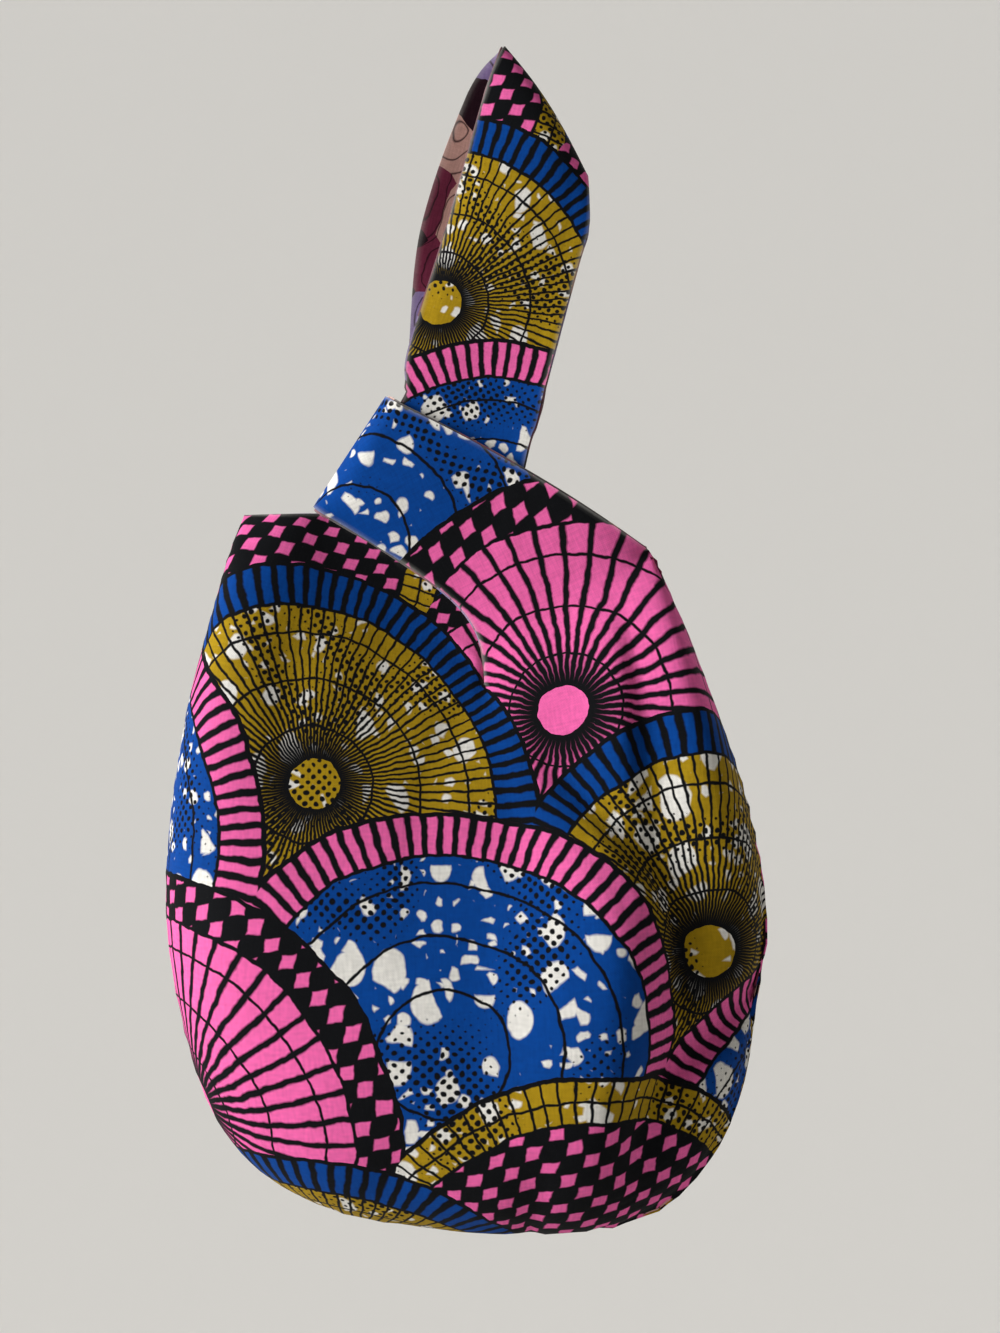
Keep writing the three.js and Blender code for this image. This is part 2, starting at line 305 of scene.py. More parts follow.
# short loop: folded round the long loop's left edge
ring = {
    "width": 57.0, "foldClear": 8.0, "foldDepth": 8.0, "edgeBow": 6.0, "neckRise": 31.0,
    "cornerEase": 0.14, "shoulderSettle": 0.45, "rows": 90, "foldRows": 14,
}
frontLeftEdge = strapEdge(-1, -1)
foldAlong = frontLeftEdge[knotStop] - frontLeftEdge[rootStop]
foldAlong = foldAlong / np.linalg.norm(foldAlong)
foldOut = np.array([-foldAlong[1], foldAlong[0]])
foldTop = frontLeftEdge[knotStop] + foldOut * ring["foldClear"]
foldBottom = foldTop - foldAlong * ring["width"]
neckLeft = strapEdge(1, -1)[rootStop]
neckRight = neckLeft + np.array([mouth["neckGap"], 0])
ringHalf = strap["knotHalf"] + mouth["threadClear"] + strap["clothDepth"]
bandTop = foldTop - foldOut * ring["foldDepth"]
bandBottom = foldBottom - foldOut * ring["foldDepth"]


def ringPoint(side, across, along):
    t = np.minimum(along, 1)
    corner = neckRight + np.array([0, ring["neckRise"]])
    eased = blendTo(corner, bandBottom, ring["cornerEase"])
    lower = bezier([neckRight, corner, eased, bandBottom], t)
    bow = (rightShoulder + bandTop) / 2 + np.array([0, ring["edgeBow"]])
    upper = bezier([rightShoulder, bow, bandTop], t)
    flat = blendTo(lower, upper, across[..., None])
    atRoot = (mouth["neckHalf"] + mouth["threadClear"]) * np.sqrt(np.clip(1 - across ** 2, 0, 1))
    settle = np.minimum(1, t / blendTo(1, ring["shoulderSettle"], across))
    depth = blendTo(atRoot, ringHalf, np.sqrt(1 - (1 - settle) ** 2))
    turn = np.clip(along - 1, 0, 1) * math.pi / 2  # past 1 the cloth turns round the fold
    flat = flat + foldOut * (ring["foldDepth"] * np.sin(turn))[..., None]
    return np.stack([flat[..., 0], side * depth * np.cos(turn), flat[..., 1]], axis=-1)


def mouthEdge(side):
    t = np.linspace(0, 1, pouch["armholeColumns"], endpoint=False)
    root = strapPoint(side, np.zeros(1), np.zeros(1))[0]
    flat = blendTo(leftShoulder, root[[0, 2]], t[:, None])
    depth = (mouth["armholeHalf"] * np.sin(t * math.pi / 2)
             + mouth["armholeGape"] * np.sin(t * math.pi))
    armhole = np.stack([flat[:, 0], side * depth, flat[:, 1]], axis=-1)
    across = np.linspace(0, 1, strap["columns"] + 1)
    none = np.zeros_like(across)
    return np.concatenate([armhole, strapPoint(side, across, none), ringPoint(side, across, none)])


def bulge(drop):
    return drop * (2 - drop) * np.sqrt(1 + drop ** 2)


fullestBulge = np.max([bulge(d) * math.sqrt(1 - d * d)
                       for d in np.linspace(0, 1, curveSteps["bulge"])])


# the seam between front and back runs a little forward at the lower right
def seamAngle(share):
    lift = np.exp(-((share - pouch["seamForwardShare"]) / pouch["seamForwardSpread"]) ** 2)
    return math.pi / 2 - pouch["seamForward"] * lift


def pouchPoint(edges, share, angle):
    drop = np.sin(angle)
    onFront = angle <= math.pi / 2
    edge = np.where(onFront[..., None], edges[-1], edges[1])
    flat = blendTo(edge[..., [0, 2]], evenSpline(seamStops, share), drop[..., None])
    belly = np.where(onFront, pouch["bellyFront"], pouch["bellyBack"])
    swell = belly * np.sin(math.pi * share) ** pouch["fullness"]
    depth = np.abs(edge[..., 1]) * (1 - drop) ** 2 * np.sign(np.cos(angle))
    depth = depth + swell * bulge(drop) * np.cos(angle) / fullestBulge
    return np.stack([flat[..., 0], -depth, flat[..., 1]], axis=-1)


# folds: each has its line, the depth along it, its reach to left and right, and a lip on its left
# left and right are those of a line that runs downwards, seen from the front
valleyLine = [
    (-10, -277), (2, -290), (16, -303), (29, -319), (46, -335), (59, -350), (68, -364), (71, -380),
    (72, -402), (71, -424), (68, -439), (63, -451), (59, -460), (57, -471), (55, -484), (51, -502),
]
frontFolds = [
    # valley from the neck to the base, below the belly on its left
    {"line": valleyLine, "left": 18, "right": 52, "lip": 2,
     "depth": [0, 1, 2, 4, 7, 9, 10, 11, 11, 10, 9, 8, 7, 6, 4, 2]},
    # the crease at its bottom, which the belly overhangs
    {"line": valleyLine, "left": 5, "right": 24, "lip": 1,
     "depth": [0, 1, 2, 3, 4, 5, 6, 7, 7, 6, 6, 5, 4, 3, 2, 1]},
    # valley below the right shoulder
    {"line": [(46, -231), (53, -246), (57, -268), (59, -289), (61, -311), (64, -337), (67, -359)],
     "depth": [1, 4, 6, 7, 7, 5, 2], "left": 6, "right": 30, "lip": 1},
    # pinch at the right side
    {"line": [(113, -406), (100, -411), (90, -420), (80, -428), (71, -436), (62, -446)],
     "depth": [10, 10, 9, 8, 6, 3], "left": 9, "right": 7},
    # the belly leans towards the valley
    {"line": [(15, -325), (31, -350), (41, -378), (43, -405), (41, -435), (36, -462), (30, -488)],
     "depth": [0, -3, -5, -6, -5, -3, 0], "left": 42, "right": 14},
    # soft drape down the middle of the belly
    {"line": [(-14, -325), (-10, -360), (-8, -400), (-8, -440), (-10, -480)],
     "depth": [0, 2.6, 3.4, 2.6, 0], "left": 21, "right": 21},
    # crisp ridge on the belly
    {"line": [(25, -322), (42, -342), (57, -363)],
     "depth": [0, -2.4, -2.8], "left": 4.5, "right": 8},
    # base: pucker and the roll above the seam
    {"line": [(11, -512), (11.5, -500), (13, -486), (15, -470)],
     "depth": [6, 4, 2, 0], "left": 4, "right": 5},
    {"line": [(-30, -502), (-2, -504.5), (26, -503)],
     "depth": [0, 1.8, 0], "left": 3, "right": 3},
    # tension by the neck, from the left shoulder and at the lower left
    {"line": [(-16, -263), (-28, -258), (-44, -256)],
     "depth": [2, 1.5, 0], "left": 5, "right": 5},
    {"line": [(-17, -284), (-30, -310), (-37, -345), (-36, -385)],
     "depth": [1.2, 1.6, 1.2, 0], "left": 9, "right": 13},
    {"line": [(-78, -226), (-88, -258), (-93, -300), (-92, -350)],
     "depth": [0.6, 1.6, 1.4, 0], "left": 10, "right": 12},
    {"line": [(-60, -497), (-44, -476), (-34, -450)],
     "depth": [1.6, 1.4, 0], "left": 7, "right": 9},
]
backFolds = [
    # soft drapes from the knot and the shoulders
    {"line": [(-20, -285), (8, -325), (34, -375), (46, -430), (44, -484)],
     "depth": [0, 3, 5, 4.5, 0], "left": 14, "right": 26},
    {"line": [(-84, -245), (-97, -300), (-95, -365)],
     "depth": [0, 2.6, 0], "left": 12, "right": 17},
    {"line": [(50, -238), (61, -285), (70, -345)],
     "depth": [1, 4.2, 0], "left": 9, "right": 20},
    {"line": [(-52, -330), (-60, -390), (-54, -450)],
     "depth": [0, 2.4, 0], "left": 18, "right": 14},
    # pucker at the base
    {"line": [(-22, -510), (-20, -494), (-16, -474)],
     "depth": [5, 3, 0], "left": 5, "right": 6},
]
foldLip = {"away": 15, "spread": 11}


def foldDepthAt(fold, x, z):
    t = np.linspace(0, 1, curveSteps["fold"])
    line = spline(fold["line"], t)
    depth = np.interp(t, np.linspace(0, 1, len(fold["depth"])), fold["depth"])
    away = np.hypot(x[:, None] - line[:, 0], z[:, None] - line[:, 1])
    near = np.argmin(away, axis=1)
    tangent = np.gradient(line, axis=0)[near]
    offX, offZ = x - line[near, 0], z - line[near, 1]
    onRight = tangent[:, 0] * offZ - tangent[:, 1] * offX > 0
    gap = away[np.arange(len(x)), near]
    reach = np.where(onRight, fold["right"], fold["left"])
    sink = depth[near] * np.exp(-(gap / reach) ** 2)
    lip = fold.get("lip", 0) * depth[near] / max(np.abs(fold["depth"]))
    lip = lip * np.exp(-((gap - foldLip["away"]) / foldLip["spread"]) ** 2)
    return sink - np.where(onRight, 0, lip)


# panels: three patches sewn into one sheet, then folded, seamed and wrinkled


def addGrid(name, columns, rows, shape):
    clearSelection()
    bpy.ops.mesh.primitive_grid_add(x_subdivisions=columns, y_subdivisions=rows, size=2)
    piece = bpy.context.object
    piece.name = name
    grid = readPoints(piece) * mm
    writePoints(piece, shape((grid[:, 0] + 1) / 2, (grid[:, 1] + 1) / 2))
    return piece


def readPoints(piece):
    points = np.empty(len(piece.data.vertices) * 3)
    piece.data.vertices.foreach_get("co", points)
    return points.reshape(-1, 3) / mm


def writePoints(piece, points):
    piece.data.vertices.foreach_set("co", (points * mm).ravel())
    piece.data.update()


def readNormals(piece):
    normals = np.empty(len(piece.data.vertices) * 3)
    piece.data.vertices.foreach_get("normal", normals)
    return normals.reshape(-1, 3)


def readEdgeEnds(piece):
    ends = np.empty(len(piece.data.edges) * 2, np.int32)
    piece.data.edges.foreach_get("vertices", ends)
    return ends.reshape(-1, 2)


def tagFaces(piece, tag):
    layer = piece.data.attributes.new("patch", "INT", "FACE")
    layer.data.foreach_set("value", np.full(len(piece.data.polygons), tag, np.int32))


def faceTags(piece):
    tags = np.empty(len(piece.data.polygons), np.int32)
    piece.data.attributes["patch"].data.foreach_get("value", tags)
    return tags


def cornerLists(piece):
    corners = np.empty(len(piece.data.loops), np.int32)
    piece.data.loops.foreach_get("vertex_index", corners)
    totals = np.empty(len(piece.data.polygons), np.int32)
    piece.data.polygons.foreach_get("loop_total", totals)
    return corners, np.repeat(np.arange(len(totals)), totals)


def patchVertices(piece, tag):
    corners, owner = cornerLists(piece)
    mask = np.zeros(len(piece.data.vertices), bool)
    mask[corners[faceTags(piece)[owner] == tag]] = True
    return mask


def borderVertices(piece):
    edgeOf = np.empty(len(piece.data.loops), np.int32)
    piece.data.loops.foreach_get("edge_index", edgeOf)
    single = np.bincount(edgeOf, minlength=len(piece.data.edges)) == 1
    return np.unique(readEdgeEnds(piece)[single])


def nearestOf(points, line):
    tree = KDTree(len(line))
    for i, point in enumerate(line):
        tree.insert(point, i)
    tree.balance()
    found = [tree.find(point) for point in points]
    return np.array([f[1] for f in found]), np.array([f[2] for f in found])


def lineDistance(points, start, end):
    run = end - start
    t = np.clip((points - start) @ run / (run @ run), 0, 1)
    return np.linalg.norm(points - start - t[:, None] * run, axis=1)


pouchTag, strapTag, ringTag = range(3)
sideNames = {-1: "front", 1: "back"}
edges = {side: mouthEdge(side) for side in sideNames}
mouthRun = np.concatenate([[0], np.cumsum(np.linalg.norm(np.diff(edges[-1], axis=0), axis=1))])
columnShares = mouthRun / mouthRun[-1]
settling = {
    "weld": 0.02, "factor": 0.5, "iterations": 30,
    "rootIterations": 160, "rootReach": 24.0, "leastWeight": 0.02,
}


def addPatches(side):
    columns = len(columnShares) - 1

    def pouchShape(u, v):
        column = np.rint(u * columns).astype(int)
        share = columnShares[column]
        turn = seamAngle(share)
        angle = turn * v if side < 0 else math.pi - (math.pi - turn) * v
        return pouchPoint({s: edges[s][column] for s in edges}, share, angle)

    # rows lie closer where the crown turns over
    def strapShape(u, v):
        span = np.clip(v, 0, 1) * crownStop
        rise = np.clip(span - upperStop, 0, 1)
        turned = upperStop + np.sin(rise * math.pi / 2) ** (2 / crownFullness)
        return strapPoint(side, u, np.where(span > upperStop, turned, span))

    def ringShape(u, v):
        bend = ring["rows"] / (ring["rows"] + ring["foldRows"])
        along = np.where(v <= bend, v / bend, 1 + (v - bend) / (1 - bend))
        return ringPoint(side, u, along)

    patches = [
        addGrid("pouch_patch", columns, pouch["rows"], pouchShape),
        addGrid("strap_patch", strap["columns"], strap["rows"], strapShape),
        addGrid("ring_patch", strap["columns"], ring["rows"] + ring["foldRows"], ringShape),
    ]
    for tag, patch in zip((pouchTag, strapTag, ringTag), patches):
        tagFaces(patch, tag)
    return patches


def joinPatches(patches, side):
    clearSelection()
    for patch in patches:
        patch.select_set(True)
    panel = patches[0]
    bpy.context.view_layer.objects.active = panel
    bpy.ops.object.join()
    panel.name = sideNames[side] + "_panel"
    bpy.ops.object.mode_set(mode="EDIT")
    bpy.ops.mesh.select_all(action="SELECT")
    bpy.ops.mesh.remove_doubles(threshold=settling["weld"] * mm)
    bpy.ops.mesh.normals_make_consistent(inside=False)
    bpy.ops.object.mode_set(mode="OBJECT")
    if readNormals(panel)[:, 1].mean() * side < 0:
        panel.data.flip_normals()
    return panel


def smoothCloth(panel, iterations, group=""):
    makeActive(panel)
    settle = panel.modifiers.new("settle", "CORRECTIVE_SMOOTH")
    settle.use_only_smooth = True
    settle.use_pin_boundary = True
    settle.iterations = iterations
    settle.factor = settling["factor"]
    settle.vertex_group = group
    bpy.ops.object.modifier_apply(modifier=settle.name)


# the loops' roots are smoothed more, so that they run into the pouch without a step
def smoothRoots(panel):
    points = readPoints(panel)[:, [0, 2]]
    toRoot = np.minimum(lineDistance(points, frontLeftEdge[rootStop], neckLeft),
                        lineDistance(points, neckRight, rightShoulder))
    group = panel.vertex_groups.new(name="rootArea")
    for i, weight in enumerate(np.exp(-(toRoot / settling["rootReach"]) ** 2)):
        if weight > settling["leastWeight"]:
            group.add([i], weight, "REPLACE")
    smoothCloth(panel, settling["rootIterations"], group.name)


def addPanel(side):
    panel = joinPatches(addPatches(side), side)
    smoothCloth(panel, settling["iterations"])
    smoothRoots(panel)
    return panel


pressing = {"seamClear": 1, "seamFade": 16, "mouthDepth": 225, "mouthFade": 40, "leastDepth": 4}


# folds are pressed in by where a point lies, so both panels agree along the seam
def pressFolds(panel):
    points = readPoints(panel)
    inPouch = patchVertices(panel, pouchTag)
    x, y, z = points[inPouch].T
    belowMouth = ease((-z - pressing["mouthDepth"]) / pressing["mouthFade"])
    for facing, folds in ((-1, frontFolds), (1, backFolds)):
        out = y * facing
        reach = ease((out - pressing["seamClear"]) / pressing["seamFade"]) * belowMouth
        sink = np.zeros(len(x))
        for fold in folds:
            sink += foldDepthAt(fold, x, z)
        room = np.maximum(out - pressing["leastDepth"], 0)
        y = y - facing * np.minimum(sink * reach, room)
    points[inPouch, 1] = y
    writePoints(panel, points)


sewing = {
    "groove": 0.9, "grooveWidth": 2.2, "endFade": 20.0, "endShare": 0.002,
    "pucker": 0.6, "puckerPitch": 9.5, "puckerReach": 9.0,
    "sway": 2.2, "swayLength": 31.0,                      # the puckers' pitch wanders
    "even": 0.6, "uneven": 0.4, "unevenLength": 17.0,     # and so does their height
    "sideStep": 0.02,                                     # radians to either side of the seam
}


def seamLine():
    share = np.linspace(sewing["endShare"], 1 - sewing["endShare"], curveSteps["seam"])
    column = np.searchsorted(columnShares, share)
    near = {s: edges[s][np.minimum(column, len(columnShares) - 1)] for s in edges}
    angle, step = seamAngle(share), sewing["sideStep"]
    line = pouchPoint(near, share, angle)
    along = np.gradient(line, axis=0)
    across = pouchPoint(near, share, angle + step) - pouchPoint(near, share, angle - step)
    out = np.cross(along, across)
    out = out / np.linalg.norm(out, axis=1)[:, None]
    centre = np.array([-pouch["offset"], 0, leftShoulder[1] - pouch["height"] / 2])
    return line, out * np.sign(np.sum(out * (line - centre), axis=1))[:, None]


def sewSeam(panel, line, out):
    points = readPoints(panel)
    close = np.flatnonzero(patchVertices(panel, pouchTag))
    near, gap = nearestOf(points[close], line)
    runs = np.cumsum(np.linalg.norm(np.diff(line, axis=0, prepend=line[:1]), axis=1))
    run = runs[near]
    turn = sewing["sway"] * np.sin(run / sewing["swayLength"])
    wave = np.sin(2 * math.pi * run / sewing["puckerPitch"] + turn)
    wave *= sewing["even"] + sewing["uneven"] * np.sin(run / sewing["unevenLength"])
    lift = sewing["pucker"] * wave * np.exp(-(gap / sewing["puckerReach"]) ** 2)
    lift -= sewing["groove"] * np.exp(-(gap / sewing["grooveWidth"]) ** 2)
    lift *= ease(np.minimum(run, runs[-1] - run) / sewing["endFade"])
    points[close] += out[near] * lift[:, None]
    writePoints(panel, points)


wrinkles = {
    "seed": 7.3, "clear": 9.0,
    "grains": [{"height": 1.7, "size": 46.0, "stretch": 1.7},
               {"height": 0.3, "size": 14.0, "stretch": 1.5}],
}


def wrinkleAt(x, z, seed):
    return sum(g["height"] * noiseAt((x / g["size"], seed, z / g["size"] / g["stretch"]))
               for g in wrinkles["grains"])


def wrinkle(panel, side):
    points, normals = readPoints(panel), readNormals(panel)
    border = points[borderVertices(panel)]
    fade = ease(nearestOf(points, border)[1] / wrinkles["clear"])
    lift = np.array([wrinkleAt(x, z, side * wrinkles["seed"]) for x, _, z in points])
    writePoints(panel, points + normals * (lift * fade)[:, None])


# the cloth's pattern is laid out flat, at its real size and the way up that it hangs
def flatten(panel, side, shift):
    makeActive(panel)
    panel.data.uv_layers[0].name = "flatCloth"
    bpy.ops.object.mode_set(mode="EDIT")
    bpy.ops.mesh.select_all(action="SELECT")
    bpy.ops.uv.unwrap(method="ANGLE_BASED", margin=0)
    bpy.ops.object.mode_set(mode="OBJECT")
    mesh = panel.data
    uv = np.empty(len(mesh.loops) * 2)
    mesh.uv_layers["flatCloth"].uv.foreach_get("vector", uv)
    flat = uv[0::2] + 1j * uv[1::2]
    corners, owner = cornerLists(panel)
    first = np.searchsorted(owner, owner)
    last = np.searchsorted(owner, owner, side="right") - 1
    here = np.arange(len(owner))
    onward = flat[np.where(here == last, first, here + 1)]
    laid = abs(np.sum((np.conj(flat) * onward).imag) / 2)
    areas = np.empty(len(mesh.polygons))
    mesh.polygons.foreach_get("area", areas)
    points = readPoints(panel) * mm
    seen = (points[:, 0] * -side + 1j * points[:, 2])[corners]
    inPouch = patchVertices(panel, pouchTag)[corners]
    middle, seenMiddle = flat[inPouch].mean(), seen[inPouch].mean()
    turn = np.sum(np.conj(flat[inPouch] - middle) * (seen[inPouch] - seenMiddle))
    grow = math.sqrt(areas.sum() / laid)
    flat = (flat - middle) * turn / abs(turn) * grow + seenMiddle + complex(*shift)
    uv = np.stack([flat.real, flat.imag], axis=-1)
    mesh.uv_layers["flatCloth"].uv.foreach_set("vector", uv.ravel())


cutShift = {-1: (0, 0), 1: (0.231, 0.117)}  # where each panel was cut from the printed cloth
panels = {side: addPanel(side) for side in sideNames}
seamPoints, seamOut = seamLine()
for side, panel in panels.items():
    pressFolds(panel)
    sewSeam(panel, seamPoints, seamOut)
    wrinkle(panel, side)
    flatten(panel, side, cutShift[side])
print("panels shaped")

cloth = {
    # the pale band along free edges is rubbed wear and a painted highlight where the edge catches the
    # light
    "outer": 0.9, "gap": 0.3, "lining": 0.7, "peek": 0.8, "wearAndHighlightReach": 0.9,
    "seamTouch": 0.05,  # panels that are closer than this are sewn together
    "crease": 50,       # degrees, past which an edge stays sharp
}


def freeEdges(side):
    mine, other = panels[side], panels[-side]
    border = borderVertices(mine)
    points = readPoints(mine)[border]
    gap = nearestOf(points, readPoints(other)[borderVertices(other)])[1]
    return border[gap > cloth["seamTouch"]]


# free edges get a pale band: rubbed wear, and a painted highlight where the edge catches the light
def markEdges(panel, side):
    points = readPoints(panel)
    gap = nearestOf(points, points[freeEdges(side)])[1]
    rubbedAndLit = panel.data.attributes.new("edgeWearAndHighlight", "FLOAT", "POINT")
    rubbedAndLit.data.foreach_set("value", np.exp(-(gap / cloth["wearAndHighlightReach"]) ** 2))


def edgeOutward(panel, border):
    points, ends = readPoints(panel), readEdgeEnds(panel)
    total, count = np.zeros_like(points), np.zeros(len(points))
    onBorder = np.zeros(len(points), bool)
    onBorder[borderVertices(panel)] = True
    for a, b in (ends.T, ends.T[::-1]):
        keep = onBorder[a] & ~onBorder[b]
        np.add.at(total, a[keep], points[a[keep]] - points[b[keep]])
        np.add.at(count, a[keep], 1)
    out = total[border] / np.maximum(count[border], 1)[:, None]
    shortest = 1e-6  # keeps a corner with no way out from being divided by nothing
    return out / np.maximum(np.linalg.norm(out, axis=1), shortest)[:, None]


def makeLayer(panel, name, side, start, thickness, peek):
    makeActive(panel)
    bpy.ops.object.duplicate()
    layer = bpy.context.object
    layer.name = name
    points = readPoints(layer) - readNormals(layer) * start
    if peek:
        border = freeEdges(side)
        points[border] += edgeOutward(panel, border) * peek
    writePoints(layer, points)
    solid = layer.modifiers.new("thickness", "SOLIDIFY")
    solid.thickness = thickness * mm
    solid.offset = -1
    return layer


def takeRing(layer, name):
    makeActive(layer)
    bpy.ops.object.mode_set(mode="EDIT")
    bpy.ops.mesh.select_mode(type="FACE")
    bpy.ops.mesh.select_all(action="DESELECT")
    bpy.ops.object.mode_set(mode="OBJECT")
    layer.data.polygons.foreach_set("select", faceTags(layer) == ringTag)
    bpy.ops.object.mode_set(mode="EDIT")
    bpy.ops.mesh.separate(type="SELECTED")
    bpy.ops.object.mode_set(mode="OBJECT")
    cut = [o for o in bpy.context.selected_objects if o != layer][0]
    cut.name = name
    return cut


def finishCloth(piece, material):
    makeActive(piece)
    for modifier in list(piece.modifiers):
        bpy.ops.object.modifier_apply(modifier=modifier.name)
    bpy.ops.object.shade_smooth_by_angle(angle=math.radians(cloth["crease"]))
    piece.vertex_groups.clear()
    piece.data.materials.clear()
    piece.data.materials.append(material)


# dyes and print, in metres on the flat cloth


# from the 0 to 255 of a colour picker to light
def dye(red, green, blue):
    return tuple(((c / 255 + 0.055) / 1.055) ** 2.4 for c in (red, green, blue)) + (1,)


cotton = {
    "bare": dye(232, 229, 222), "sheen": 0.025, "sheenRoughness": 0.45, "specular": 0.08,
    "threadPitch": 0.0009, "weaveHeight": 0.25, "bump": 0.5, "bumpDepth": 0.00012,
    "slubScale": 900, "slubDetail": 1, "slubStretch": 0.2,
    "mottleScale": 22, "mottleDetail": 3,
    "shade": 0.64, "mottleShade": 0.2, "slubShade": 0.26, "weaveShade": 0.08,
    # how far the free edges pale towards the bare cloth: rubbed wear and a painted highlight
    "rubAndHighlight": 0.5, "rubAndHighlightStart": -0.05,
    "roughness": 0.74, "mottleRoughness": 0.14,
}


def startCotton(name):
    material = bpy.data.materials.new(name)
    material.use_nodes = True
    tree = material.node_tree
    shader = tree.nodes["Principled BSDF"]
    shader.inputs["Sheen Weight"].default_value = cotton["sheen"]
    shader.inputs["Sheen Roughness"].default_value = cotton["sheenRoughness"]
    shader.inputs["Specular IOR Level"].default_value = cotton["specular"]
    where = tree.nodes.new("ShaderNodeUVMap")
    where.uv_map = "flatCloth"
    return material, tree, shader, where.outputs["UV"]


def plug(tree, socket, value):
    if isinstance(value, bpy.types.NodeSocket):
        tree.links.new(value, socket)
    else:
        socket.default_value = value


def calc(tree, operation, *values):
    node = tree.nodes.new("ShaderNodeMath")
    node.operation = operation
    for socket, value in zip(node.inputs, values):
        plug(tree, socket, value)
    return node.outputs[0]


def within(tree, value, limit, soft):
    node = tree.nodes.new("ShaderNodeMapRange")
    plug(tree, node.inputs["Value"], calc(tree, "SUBTRACT", value, limit))
    node.inputs["From Min"].default_value = soft
    node.inputs["From Max"].default_value = -soft
    return node.outputs["Result"]


def tint(tree, factor, base, top):
    node = tree.nodes.new("ShaderNodeMix")
    node.data_type = "RGBA"
    plug(tree, node.inputs["Factor"], factor)
    plug(tree, node.inputs[6], base)
    plug(tree, node.inputs[7], top)
    return node.outputs[2]


def choose(tree, factor, no, yes):
    node = tree.nodes.new("ShaderNodeMix")
    plug(tree, node.inputs[0], factor)
    plug(tree, node.inputs[2], no)
    plug(tree, node.inputs[3], yes)
    return node.outputs[0]


def noise(tree, where, scale, detail=2.0, colour=False):
    node = tree.nodes.new("ShaderNodeTexNoise")
    node.noise_dimensions = "2D"
    plug(tree, node.inputs["Vector"], where)
    node.inputs["Scale"].default_value = scale
    node.inputs["Detail"].default_value = detail
    return node.outputs["Color" if colour else "Fac"]


def sway(tree, where, sways):
    for scale, reach in sways:
        node = tree.nodes.new("ShaderNodeVectorMath")
        node.operation = "MULTIPLY_ADD"
        plug(tree, node.inputs[0], noise(tree, where, scale, colour=True))
        node.inputs[1].default_value = (2 * reach, 2 * reach, 0)
        node.inputs[2].default_value = (-reach, -reach, 0)
        added = tree.nodes.new("ShaderNodeVectorMath")
        plug(tree, added.inputs[0], where)
        plug(tree, added.inputs[1], node.outputs[0])
        where = added.outputs[0]
    return where


def split(tree, where):
    node = tree.nodes.new("ShaderNodeSeparateXYZ")
    plug(tree, node.inputs[0], where)
    return node.outputs[0], node.outputs[1]


def place(tree, where, shift=(0, 0), turn=0.0, scale=(1, 1)):
    node = tree.nodes.new("ShaderNodeMapping")
    plug(tree, node.inputs["Vector"], where)
    node.inputs["Location"].default_value = (*shift, 0)
    node.inputs["Rotation"].default_value = (0, 0, math.radians(turn))
    node.inputs["Scale"].default_value = (*scale, 1)
    return node.outputs[0]


def cells(tree, where, size, feature):
    node = tree.nodes.new("ShaderNodeTexVoronoi")
    node.voronoi_dimensions = "2D"
    node.feature = feature
    plug(tree, node.inputs["Vector"], where)
    node.inputs["Scale"].default_value = 1 / size
    return node.outputs


def length(tree, x, y):
    squares = (calc(tree, "MULTIPLY", k, k) for k in (x, y))
    return calc(tree, "SQRT", calc(tree, "ADD", *squares))


def fromMiddle(tree, value, pitch):
    over = calc(tree, "FLOORED_MODULO", value, pitch)
    return calc(tree, "ABSOLUTE", calc(tree, "SUBTRACT", over, pitch / 2))


def stripe(tree, value, pitch, width, soft):
    return within(tree, fromMiddle(tree, value, pitch), width / 2, soft)


def spokes(tree, angle, away, turn, width, soft):
    across = calc(tree, "MULTIPLY", fromMiddle(tree, angle, turn), away)
    return within(tree, across, width / 2, soft)


def addWeave(tree, shader, where, colour):
    u, v = split(tree, where)
    over, under = (calc(tree, "SINE", calc(tree, "MULTIPLY", k, 2 * math.pi / cotton["threadPitch"]))
                   for k in (u, v))
    weave = calc(tree, "MULTIPLY", over, under)
    stretch = cotton["slubStretch"]
    slubs = (noise(tree, place(tree, where, scale=run), cotton["slubScale"], cotton["slubDetail"])
             for run in ((1, stretch), (stretch, 1)))
    slub = calc(tree, "ADD", *slubs)
    bump = tree.nodes.new("ShaderNodeBump")
    bump.inputs["Strength"].default_value = cotton["bump"]
    bump.inputs["Distance"].default_value = cotton["bumpDepth"]
    height = calc(tree, "MULTIPLY_ADD", weave, cotton["weaveHeight"], slub)
    plug(tree, bump.inputs["Height"], height)
    plug(tree, shader.inputs["Normal"], bump.outputs[0])

    mottle = noise(tree, where, cotton["mottleScale"], cotton["mottleDetail"])
    threads = calc(tree, "MULTIPLY", weave, cotton["weaveShade"])
    threads = calc(tree, "MULTIPLY_ADD", slub, cotton["slubShade"], threads)
    shade = calc(tree, "MULTIPLY_ADD", mottle, cotton["mottleShade"], cotton["shade"])
    shade = calc(tree, "ADD", shade, threads)
    # near free edges the colour pales towards the bare cloth: rubbed wear and a painted highlight
    wearAndHighlight = tree.nodes.new("ShaderNodeAttribute")
    wearAndHighlight.attribute_name = "edgeWearAndHighlight"
    rubbedAndLit = calc(tree, "MULTIPLY_ADD", mottle, cotton["rubAndHighlight"], cotton["rubAndHighlightStart"])
    rubbedAndLit = calc(tree, "MULTIPLY", wearAndHighlight.outputs["Fac"], rubbedAndLit)
    shaded = tree.nodes.new("ShaderNodeVectorMath")
    shaded.operation = "SCALE"
    plug(tree, shaded.inputs[0], tint(tree, rubbedAndLit, colour, cotton["bare"]))
    plug(tree, shaded.inputs["Scale"], shade)
    plug(tree, shader.inputs["Base Color"], shaded.outputs[0])
    dull = calc(tree, "MULTIPLY_ADD", mottle, cotton["mottleRoughness"], cotton["roughness"])
    plug(tree, shader.inputs["Roughness"], dull)


